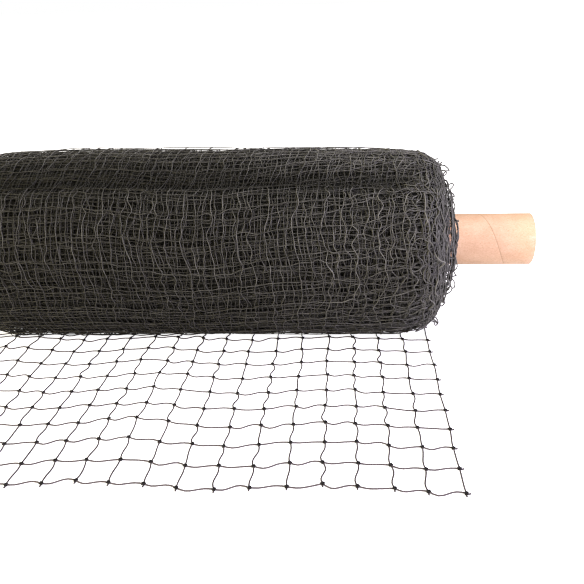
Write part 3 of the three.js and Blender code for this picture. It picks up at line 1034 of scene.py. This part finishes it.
# %% Where the wound knots lie
OUTER_ROWS = 590  # rows of knots that are laid out in full
ROW_PITCH = 24.35  # the wound net is slack, so its rows lie a little closer than a mesh
TURN_SHIFT = 0.382 * MESH  # each turn lies this much to one side of the last, so the meshes fill evenly
SHIFT_DONE = (0.08, 0.92)  # the shift takes place under the roll, outside these shares of a turn
ROWS_PER_TURN = 24  # every other one slips to the left, the rest to the right
FADE_ROWS = 5  # rows over which the winding leaves the straight first row
# Sideways lean of the outer turns by the angle above the front of the roll, to the right if positive
LEAN = {"above_front": [-140, -75, -30, -8, 6, 22, 56, 90, 150], "across": [0, 0, -1, 6.5, 0, -1, 0, 13, 0]}
LEAN_TURNS = 5
RISE = {"start": 10, "full": 225, "height": 24, "curve": 1.3}  # how the outer rows climb to the right
# Over the top the outer turns bridge the hollow of the sag, and most of all on the left
BRIDGE = {
    "above_front": 101, "half_width": 20, "turns": 2,
    "x": [0, 100, 190, 225], "height": [1.8, 1.0, 1.4, 0.5],
}
ZIGZAG = 0.9  # the slip that every row has, before its stray
PATCH = {"least": 0.5, "lift": 0.9}  # loose patches of the outermost turn are the peaks of their stray


def wound_knots():
    """Across, along and lift of every knot: the even grid plus strays, and the lean, climb and bridge."""
    rows, columns = np.mgrid[0:OUTER_ROWS + 1, 0:MESHES_ACROSS + 1].astype(float)
    across = MESH * (MESHES_ACROSS / 2 - columns)
    along = ROW_PITCH * rows
    turned = turned_by(along)
    turns_done = turned / TWO_PI
    from_front = above_front(FIRST_ANGLE + turned)
    free = np.minimum(1, rows / FADE_ROWS)
    outer = free * fading(turned, LEAN_TURNS)
    slack = slackness(across, along)
    strays = {name: knot_strays(facts, columns, rows, turns_done, slack) for name, facts in STRAYS.items()}

    turns = np.arange(int(turns_done.max()) + 2)
    shifts = (turns * TURN_SHIFT + MESH / 2) % MESH - MESH / 2
    sideways = np.interp(turns_done, (turns[:, None] + SHIFT_DONE).ravel(), np.repeat(shifts, 2))
    sideways += strays["sideways"] + strays["knot_sideways"]
    sideways += (ZIGZAG + strays["zigzag"]) * np.cos(ROWS_PER_TURN / 2 * turned)
    lean = np.interp(from_front, LEAN["above_front"], LEAN["across"])
    climb = RISE["height"] * ramp(across, RISE["start"], RISE["full"]) ** RISE["curve"]
    across = across + free * sideways + outer * lean
    along = along + free * (strays["onward"] + strays["knot_onward"]) - outer * climb

    patch = np.clip(strays["patch"] - PATCH["least"], 0, None) * (turned < TWO_PI)
    on_top = np.exp(-((from_front - BRIDGE["above_front"]) / BRIDGE["half_width"]) ** 2)
    bridge = np.interp(across, BRIDGE["x"], BRIDGE["height"]) * on_top * fading(turned, BRIDGE["turns"])
    lift = free * strays["lift"] + outer * PATCH["lift"] * patch + bridge
    return across, np.maximum(along, 0), lift


wound_across, wound_along, wound_lift = wound_knots()
print("knots in the winding:", wound_across.size)

# %% [markdown]
# ## Painted light and shade on the wound yarn
#
# The grey of the wound yarn is mostly painted light and shade. The lengthwise yarns lie outermost and are
# painted greyest, as they catch the lamps' shine, and the crosswise ones less. Further in the yarn is painted
# darker for the shade of the turns above, and down in the crease it is painted black. The right end is
# painted lighter than the left, and the top lighter than the underside.

# %% Painted light and shade on the yarn
# Numbers from none to one, which the yarn's material takes as the way from black to grey
GREY_AND_PAINTED_SHEEN = {"lengthwise": 0.2, "crosswise": 0.115, "knots": 0.14}
PAINTED_DEPTH_SHADE_TURNS = {"lengthwise": 9, "crosswise": 30, "knots": 9}  # turns inwards over which painted shade of the turns above darkens it
PAINTED_LIGHT_ACROSS = [-170, 45, 195]  # distances along the roll for the shares of the next table
PAINTED_LIGHT_SHARES = {
    "lengthwise": [0.7, 1.0, 1.45],
    "crosswise": [0.7, 1.0, 1.68],
    "knots": [0.7, 1.0, 1.5],
}
PAINTED_LIGHT_HEIGHTS = [-0.87, 0.17, 0.8, 0.95]  # heights above the axis in radii, from below to on top
PAINTED_SHADE_BELOW = {"lengthwise": 0.5, "crosswise": 1.2, "knots": 0.7}  # painted shade: its share low on the roll
PAINTED_LIGHT_ON_TOP = {"lengthwise": 1.05, "crosswise": 1.4, "knots": 1.1}  # painted light: its share on top
CREASE_SHADE = 0.8  # painted shade: how much of it is missing in the crease


def grey_with_painted_light(across, along, kind):
    """How grey a yarn is drawn, with painted light and shade: the product of its shares by place, height,
    crease and depth.
    """
    turned = turned_by(along)
    angle = FIRST_ANGLE + turned
    # Painted light: the yarn is drawn lighter towards the right end
    at_end = np.interp(across, PAINTED_LIGHT_ACROSS, PAINTED_LIGHT_SHARES[kind])
    height_shares = [PAINTED_SHADE_BELOW[kind], 1, 1, PAINTED_LIGHT_ON_TOP[kind]]
    # Painted light on top and painted shade low on the roll
    painted_height_light = np.interp(np.sin(angle), PAINTED_LIGHT_HEIGHTS, height_shares)
    # Painted shade in the crease
    outside_painted_crease_shade = 1 - CREASE_SHADE * in_crease(across, angle, 0)
    # Painted shade of the turns above: the yarn is drawn darker further in
    painted_depth_shade = fading(turned, PAINTED_DEPTH_SHADE_TURNS[kind] * np.maximum(1, at_end))
    return GREY_AND_PAINTED_SHEEN[kind] * at_end * painted_height_light * outside_painted_crease_shade * painted_depth_shade


top_grey = [grey_with_painted_light(0.0, OUTER_RADIUS * np.pi, kind) for kind in GREY_AND_PAINTED_SHEEN]
print("grey on top of the roll:", dict(zip(GREY_AND_PAINTED_SHEEN, np.round(top_grey, 3).tolist())))

# %% [markdown]
# ## Knots on the roll
#
# Pressed between turns of net, a knot shows as a small lump and no longer as a wound bight. So here a ring of
# points and two poles are enough, which matters with thousands of knots.

# %% Lumps for knots
KNOT_RADIUS = 0.9
KNOT_FLATNESS = 0.8
SLANT = np.array([1.0, 0.31, 0.17])  # any slanting direction, to be crossed with the way up


def knot_lumps(places, ups, radius, sides, grey_and_painted_light):
    """A small rounded lump at each place: a ring of points round it and two poles, a little flattened."""
    side = unit(np.cross(ups, SLANT))
    ahead_of = np.cross(ups, side)
    turn = TWO_PI * np.arange(sides)[:, None] / sides
    ring = np.cos(turn) * side[:, None, :] + np.sin(turn) * ahead_of[:, None, :]
    poles = places[:, None, :] + ups[:, None, :] * radius * np.array([[-KNOT_FLATNESS], [KNOT_FLATNESS]])
    points = np.concatenate([places[:, None, :] + radius * ring, poles], axis=1)
    here = np.arange(len(places) * (sides + 2)).reshape(len(places), sides + 2)
    rim, low, high = here[:, :sides], here[:, sides:sides + 1], here[:, sides + 1:]
    onward = np.roll(rim, -1, axis=1)
    top = np.stack([rim, onward, np.broadcast_to(high, rim.shape)], axis=-1)
    bottom = np.stack([onward, rim, np.broadcast_to(low, rim.shape)], axis=-1)
    faces = np.concatenate([top.reshape(-1, 3), bottom.reshape(-1, 3)])
    return points.reshape(-1, 3), [faces], np.zeros((faces.size, 2)), np.repeat(grey_and_painted_light, sides + 2)


print("a knot on the roll is", 2 * KNOT_RADIUS, "mm across")

# %% [markdown]
# ## Yarn on the roll
#
# Between its knots a wound yarn bows, swings and kinks, more where the net is slack, and a few slack strands
# curl. Its grey is broken up from place to place by painted glints, as the twist catches the light, and from
# strand to strand by a painted sheen. The yarn along both edges is thicker, and some of its strands stand off
# in hairpin loops, which make the ends of such a roll so shaggy.

# %% Yarns laid on the roll
WOUND_YARN_RADIUS = 0.4
EDGE_YARN_RADIUS = 0.62
CURLING_SHARE = 0.1  # of the slack strands at the ends
WAVY = {"crosswise": 0.5, "lengthwise": 0.75}  # how far a held strand strays
# How much of that goes into bows, esses and kinks, and what slack and curling add to each in millimetres
STRAND_STRAYS = [
    {"wavy": 1.0, "slack": 1.1, "curl": 4.5},
    {"wavy": 1.0, "slack": 1.0, "curl": 0},
    {"wavy": 0.7, "slack": 1.1, "curl": 0},
]
ARCH = {"even": 0.25, "slack": 0.7, "curl": 2.0}  # how far strands stand off the turns below
EDGE_LOOP = {"flat": 0.7, "least": 4.5, "most": 8.5, "pinch": 2.0}  # flat edge strands and hairpin loops
PAINTED_GLINTS = (0.55, 1.45)  # painted glints: least and most from place to place
PAINTED_STRAND_SHEEN = (0.7, 1.3)  # painted sheen: and from strand to strand
PAINTED_LIGHT_MOST = 0.42  # no spot gets greyer than this
EDGE_YARN_GREY = 0.22  # the edge yarns are drawn in one grey all along

sheen_chance = np.random.default_rng(5)


def hairpins(shape, share):
    """Heights of the loops along an edge, and how far their legs close up. Most strands stay nearly flat."""
    is_loop = winding.random(shape) < share
    height = winding.uniform(EDGE_LOOP["least"], EDGE_LOOP["most"], shape)
    flat = np.abs(winding.normal(0, EDGE_LOOP["flat"], shape))
    return np.where(is_loop, height, flat), np.where(is_loop, EDGE_LOOP["pinch"], 0)


def wound_yarns(across, along, lift, steps, sides, kind, loop_share=0):
    """Yarns through lines of knots of the flat net, laid on the roll: straight runs plus their strays.

    Crosswise yarns stray along the net between their knots, and lengthwise ones stray across it.
    """
    slack = slackness((across[:, :-1] + across[:, 1:]) / 2, along[:, 1:])
    curling = slack * (winding.random(slack.shape) < CURLING_SHARE)
    amounts = [
        winding.normal(0, facts["wavy"] * WAVY[kind] + facts["slack"] * slack + facts["curl"] * curling)
        for facts in STRAND_STRAYS
    ]
    arches = np.abs(winding.normal(0, ARCH["even"] + ARCH["slack"] * slack + ARCH["curl"] * curling))
    pinches = np.zeros_like(arches)
    radius = np.full((len(across), 1, 1, 1), WOUND_YARN_RADIUS)
    if kind == "lengthwise":
        arches[[0, -1]], pinches[[0, -1]] = hairpins(arches[[0, -1]].shape, loop_share)
        radius[[0, -1]] = EDGE_YARN_RADIUS
    stray = strays_between(amounts, steps)
    x = between_knots(across, steps)
    u = between_knots(along, steps) + strays_between([np.zeros_like(pinches), pinches], steps)
    if kind == "crosswise":
        u = np.maximum(u + stray, 0)
    else:
        x = x + stray
    points, ups = on_roll(x, u, between_knots(lift, steps) + strays_between([arches], steps))
    # Painted glints from place to place, and painted sheen from strand to strand
    grey = grey_with_painted_light(x, u, kind) * winding.uniform(*PAINTED_GLINTS, x.shape)
    grey[:, :-1] *= np.repeat(sheen_chance.uniform(*PAINTED_STRAND_SHEEN, slack.shape), steps, axis=1)
    grey = np.minimum(grey, PAINTED_LIGHT_MOST)
    if kind == "lengthwise":
        grey[[0, -1]] = EDGE_YARN_GREY
    return carry_yarn(points, ups, radius, sides, grey)


print("edge loops stand off by", EDGE_LOOP["least"], "to", EDGE_LOOP["most"], "mm")

# %% [markdown]
# ## Turns of net
#
# The rows are drawn in six pieces, from the outside in. The outermost two turns get the finest steps, the
# roundest yarn and the hairpin loops. The pieces below show as threads in the gaps, so fewer steps and sides
# will do, and the two deepest need no knots.
#
# The net on the roll gets its own copy of the same material, painted lighter so that it looks more brightly
# lit than its loose end: a little lighter, smoother, and much greyer where the painted light is strong.

# %% Make the turns
WOUND_STUB = 0.8  # what is left of a crosswise yarn past the last knot

TURN_PIECES = {
    "net_turns_outer": {"rows": (0, 52), "steps": 8, "sides": 5, "knot_sides": 5, "loop_share": 0.3},
    "net_turns_second": {"rows": (52, 120), "steps": 7, "sides": 4, "knot_sides": 4},
    "net_turns_third": {"rows": (120, 188), "steps": 5, "sides": 4, "knot_sides": 4},
    "net_turns_fourth": {"rows": (188, 330), "steps": 4, "sides": 3, "knot_sides": 4},
    "net_turns_fifth": {"rows": (330, 460), "steps": 3, "sides": 3},
    "net_turns_sixth": {"rows": (460, OUTER_ROWS), "steps": 3, "sides": 3},
}


def wound_piece(name, points, face_sets, material, uv, grey_and_painted_light=None):
    """A piece of the wound net, which takes the place of the solid roll."""
    piece = surface_piece(name, points, face_sets, [material], uv, grey_and_painted_light=grey_and_painted_light)
    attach(piece, "root")
    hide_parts("net_roll")


def turns_of_net(rows, steps, sides, knot_sides=0, loop_share=0):
    """Rows of the winding from first to last, as one set: lengthwise yarns, crosswise yarns and knots."""
    span = slice(rows[0], rows[1] + 1)
    across, along, lift = wound_across[span], wound_along[span], wound_lift[span]
    lengthwise = wound_yarns(across.T, along.T, lift.T, steps, sides, "lengthwise", loop_share)
    # The first row of knots belongs to the piece before, or to the loose end
    across, along, lift = across[1:], along[1:], lift[1:]
    crosswise = wound_yarns(past_edges(across, WOUND_STUB, -WOUND_STUB), past_edges(along, 0, 0),
                            past_edges(lift, 0, 0), steps, sides, "crosswise")
    parts = [lengthwise, crosswise]
    if knot_sides:
        places, ups = on_roll(across, along, lift)
        grey = grey_with_painted_light(across, along, "knots").ravel()
        parts.append(knot_lumps(places.reshape(-1, 3), ups.reshape(-1, 3), KNOT_RADIUS, knot_sides, grey))
    return joined(parts)


# A lighter copy of the yarn, painted to look more brightly lit than the loose end
wound_material = twisted_polyethylene("wound polyethylene net painted lighter", "#15130b", "#afada4", 0.45, 0.25)
for turns_name, turns_facts in TURN_PIECES.items():
    points, face_sets, uv, grey_and_painted_light = turns_of_net(**turns_facts)
    wound_piece(turns_name, points, face_sets, wound_material, uv, grey_and_painted_light)

# %% [markdown]
# ## The ends of the inner turns
#
# Further in, only the edges of the turns show, at the two ends of the roll. There the edge yarn is drawn
# alone, as a spiral of knots that goes down the dome to the tube. Nothing holds the edge open, so between two
# knots the yarn stands off in an arc or a narrow loop, and at each knot a crosswise yarn goes in under the
# turns above.

# %% Edge yarns of the inner turns
EDGE_START = 89.0
EDGE_END = 27.0
EDGE_PITCH = 3.0
EDGE_MESH = 20.0  # the slack edge has its knots closer together
EDGE_STEPS = 8
EDGE_SIDES = 5
EDGE_STRAYS = np.array([1.6, 3.0, 1.8])  # of the knots: in radius, along the edge and off the dome
EDGE_BOWS = np.array([1.6, 1.2, 1.2, 0.8])  # of the strands: bow and S in radius, bow and S along the edge
EDGE_ARC = 1.3
EDGE_LOOP_SHARE = 0.1
EDGE_LIGHT_BY_LIFT = {"least": 0.15, "per_mm": 0.05, "most": 0.42}  # painted light: the further a strand stands off, the greyer
END_LENGTH = 18.0  # how far the crosswise yarns are drawn inwards
END_STATIONS = 4
END_SIDES = 4
END_STRAY = 0.9
END_GREY = 0.3


def on_dome(side, radius, angle, lift):
    """Points on the dome at a radius and an angle, lifted square to it, and the way up there."""
    radius = np.clip(radius, EDGE_END, EDGE_START)
    arc = np.interp(-radius, -DOME[:, 1], DOME_ARC)
    x = np.interp(arc, DOME_ARC, DOME[:, 0])
    out_x = -np.interp(arc, DOME_ARC, DOME_SLOPE[:, 1])
    out_r = np.interp(arc, DOME_ARC, DOME_SLOPE[:, 0])
    sunk = unevenness(side * x, angle, TWO_PI * CREASE["turns"]) * near_face(radius)
    radius = np.maximum(radius + sunk + lift * out_r, EDGE_END)
    height = AXIS_HEIGHT + radius * np.sin(angle)
    points = np.stack([side * (x + lift * out_x), radius * np.cos(angle), height], axis=-1)
    ups = np.stack([side * out_x, out_r * np.cos(angle), out_r * np.sin(angle)], axis=-1)
    return points, ups


def edge_yarn(side):
    """Knots on a spiral whose radius shrinks by the pitch per turn, arcs between them and ends that go in."""
    shrink = EDGE_PITCH / TWO_PI
    count = int((EDGE_START ** 2 - EDGE_END ** 2) / (2 * shrink * EDGE_MESH))
    turned = (EDGE_START - np.sqrt(EDGE_START ** 2 - 2 * shrink * EDGE_MESH * np.arange(count))) / shrink
    radius = EDGE_START - shrink * turned
    stray = winding.normal(0, 1, (3, 1, count)) * EDGE_STRAYS[:, None, None]
    knot_radius = radius + stray[0]
    knot_angle = turned + stray[1] / radius
    knot_lift = stray[2]

    strands = winding.normal(0, 1, (5, 1, count - 1))
    bows = EDGE_BOWS[:, None, None] * strands[:4]
    loops, pinches = hairpins(strands[4].shape, EDGE_LOOP_SHARE)
    arcs = (EDGE_ARC * np.abs(strands[4]) + loops) * near_face(radius[1:])
    slide = strays_between([bows[2], bows[3] + pinches], EDGE_STEPS)
    run_radius = between_knots(knot_radius, EDGE_STEPS) + strays_between(bows[:2], EDGE_STEPS)
    run_angle = between_knots(knot_angle, EDGE_STEPS) + slide / run_radius
    run_lift = between_knots(knot_lift, EDGE_STEPS) + strays_between([arcs], EDGE_STEPS)
    points, ups = on_dome(side, run_radius, run_angle, run_lift)
    # Painted light: strands that stand off further are drawn greyer
    grey = np.clip(EDGE_LIGHT_BY_LIFT["least"] + EDGE_LIGHT_BY_LIFT["per_mm"] * run_lift, 0, EDGE_LIGHT_BY_LIFT["most"])
    yarn = carry_yarn(points, ups, EDGE_YARN_RADIUS, EDGE_SIDES, grey)

    places, place_ups = on_dome(side, knot_radius[0], knot_angle[0], knot_lift[0])
    knots = knot_lumps(places, place_ups, KNOT_RADIUS, EDGE_SIDES, np.full(count, EDGE_LIGHT_BY_LIFT["least"]))
    inward = np.linspace(0, END_LENGTH, END_STATIONS)[:, None] * [-side, 0, 0]
    wander = winding.normal(0, END_STRAY, (count, END_STATIONS, 3)) * [0, 1, 1]
    end_ups = np.repeat(place_ups[:, None, :], END_STATIONS, axis=1)
    end_grey = np.full((count, END_STATIONS), END_GREY)
    ends = carry_yarn(places[:, None, :] + inward + wander, end_ups, WOUND_YARN_RADIUS, END_SIDES, end_grey)
    return joined([yarn, knots, ends])


for end_name, end_side in {"net_edges_right": 1, "net_edges_left": -1}.items():
    points, face_sets, uv, grey_and_painted_light = edge_yarn(end_side)
    wound_piece(end_name, points, face_sets, wound_material, uv, grey_and_painted_light)

# %% [markdown]
# ## Packed yarn
#
# Behind twenty-six turns hardly anything can be told apart, so the rest of the winding is one dark form. Its
# UV map runs along the tube and round it in millimetres, so that dim threads can be drawn on it, one set each
# way, as noise that is stretched along the thread.

# %% Packed yarn material
THREAD_SPACING = 2.0
THREAD_RUN = 22.0
THREAD_EDGE = (0.5, 0.72)  # values of the noise at which a thread starts to show and shows in full
THREAD_RELIEF = 0.8


def packed_turns():
    """A nearly black mass of yarn: thin bands of noise along the roll and round it."""
    material = new_material("packed inner turns")
    yarn_map = add_node(material, "ShaderNodeUVMap", {"uv_map": "yarn"})
    bands = []
    for scale in ((1 / THREAD_SPACING, 1 / THREAD_RUN, 1), (1 / THREAD_RUN, 1 / THREAD_SPACING, 1)):
        stretched = add_node(material, "ShaderNodeMapping", {
            "Scale": scale,
        }, {"Vector": yarn_map.outputs["UV"]})
        noise = add_node(material, "ShaderNodeTexNoise", {
            "Scale": 1.0, "Detail": 1,
        }, {"Vector": stretched.outputs["Vector"]})
        bands.append(noise.outputs["Fac"])
    lighter = add_node(material, "ShaderNodeMath", {"operation": "MAXIMUM"}, {0: bands[0], 1: bands[1]})
    thread = add_node(material, "ShaderNodeMapRange", {
        "From Min": THREAD_EDGE[0], "From Max": THREAD_EDGE[1],
    }, {"Value": lighter.outputs["Value"]})
    colour = add_node(material, "ShaderNodeMix", {
        "data_type": "RGBA", 6: linear("#0a0a05"), 7: linear("#2f2e24"),
    }, {0: thread.outputs["Result"]})
    bump = add_node(material, "ShaderNodeBump", {
        "Strength": 0.8, "Distance": THREAD_RELIEF * MM,
    }, {"Height": thread.outputs["Result"]})
    shader = add_node(material, "ShaderNodeBsdfPrincipled", {
        "Roughness": 0.8, "Specular IOR Level": 0.2,
    }, {"Base Color": colour.outputs[2], "Normal": bump.outputs["Normal"]})
    add_node(material, "ShaderNodeOutputMaterial", links={"Surface": shader.outputs["BSDF"]})
    return material


packed_yarn = packed_turns()
print("made", packed_yarn.name)

# %% [markdown]
# ## The dark inside
#
# The form is a profile turned about the tube, just under the turns that are laid out in full. It follows the
# domes at both ends a little further in, and hangs lower under the tube, as the wound net does.

# %% Inner turns as one form
CORE_CLEARANCE = 1.2
CORE_SIDES = 72
CORE_INSET = 7.0
CORE_FOOT = 4.0  # the dome is followed down to this far above the tube
CORE_SAG = 0.04  # the inner turns hang lower by this share
TUBE_GAP = 0.6


def inner_form():
    """A closed ring round the tube: the dome drawn in from the ends, cut off under the last turn, turned."""
    core_radius = OUTER_RADIUS - TIGHTENING * turned_by(OUTER_ROWS * ROW_PITCH) - CORE_CLEARANCE
    dome = DOME[DOME[:, 1] > TUBE_RADIUS + CORE_FOOT] - [CORE_INSET, 0]
    below = dome[dome[:, 1] < core_radius]
    corner_x = np.interp(-core_radius, -dome[:, 1], dome[:, 0])
    inner_radius = TUBE_RADIUS + TUBE_GAP
    half = np.concatenate([[[corner_x, core_radius]], below, [[below[-1, 0], inner_radius]]])
    profile = np.concatenate([half, half[::-1] * [-1, 1]])
    turn = np.arange(CORE_SIDES) / CORE_SIDES
    here = np.arange(len(profile) * CORE_SIDES).reshape(len(profile), CORE_SIDES)
    down, onward = np.roll(here, -1, axis=1), np.roll(here, -1, axis=0)
    faces = np.stack([here, down, np.roll(onward, -1, axis=1), onward], axis=-1)

    outline = np.concatenate([profile, profile[:1]])
    run = np.concatenate([[0], np.cumsum(np.linalg.norm(np.diff(outline, axis=0), axis=1))])
    near = np.broadcast_to(run[:-1, None], here.shape)
    far = np.broadcast_to(run[1:, None], here.shape)
    girth = np.broadcast_to(TWO_PI * core_radius * turn, here.shape)
    next_girth = girth + TWO_PI * core_radius / CORE_SIDES
    uv = np.stack([near, girth, near, next_girth, far, next_girth, far, girth], axis=-1)

    points = round_the_tube(profile[:, :1], profile[:, 1:], turn)
    below_axis = np.minimum(points[:, 2] - AXIS_HEIGHT, 0)
    points[:, 2] += CORE_SAG * below_axis * np.repeat(profile[:, 1] > inner_radius, CORE_SIDES)
    return points, faces.reshape(-1, 4), uv.reshape(-1, 2)


core_points, core_faces, core_uv = inner_form()
wound_piece("net_inner_turns", core_points, [core_faces], packed_yarn, core_uv)
